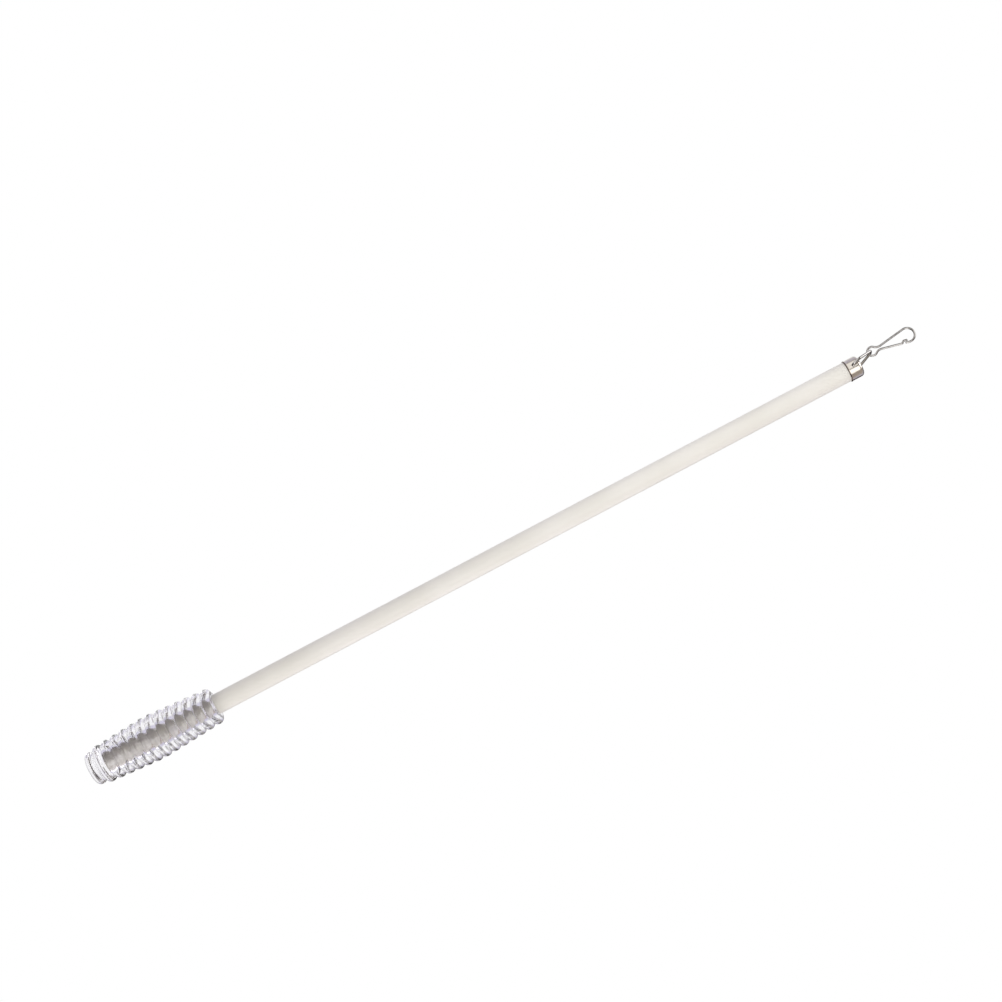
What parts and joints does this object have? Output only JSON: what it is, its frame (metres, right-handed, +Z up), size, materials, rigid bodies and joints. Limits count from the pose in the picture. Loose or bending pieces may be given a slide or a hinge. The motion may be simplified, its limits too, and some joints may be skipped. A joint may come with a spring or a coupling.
{
  "type": "curtain wand",
  "caption": "Curtain draw rod: slim ivory tube with a clear beaded grip below, and a metal cap, wire bail and snap hook above, to pull a curtain along its track by hand.",
  "frame": {"origin": "inside top of the snap hook's crown, where it hangs on the curtain glider's eye", "axes": "+Z up along the hanging rod, Y along the bail's pivot and crown bar, hook in the XZ plane with its gate towards +X"},
  "size_m": [0.025, 0.025, 0.5],
  "materials": {
    "clear_acrylic": "moulded, clear and glossy",
    "ivory_plastic": "extruded, satin",
    "nickel_plate": "bright nickel plate on steel"
  },
  "bodies": {
    "hook": {"snap_hook": "nickel_plate"},
    "bail": {"bail": "nickel_plate"},
    "wand": {"grip": "clear_acrylic", "rod": "ivory_plastic", "ferrule": "nickel_plate"}
  },
  "joints": [
    {"name": "hook_link", "type": "hinge", "parent": "hook", "child": "bail", "pos_m": [-0.00131, 0, -0.02502], "axis": [0, 1, 0], "range_deg": [-71, 109]},
    {"name": "bail_pivot", "type": "hinge", "parent": "bail", "child": "wand", "pos_m": [0.00233, 0, -0.0377], "axis": [0, 1, 0], "range_deg": [-106, 74]}
  ]
}
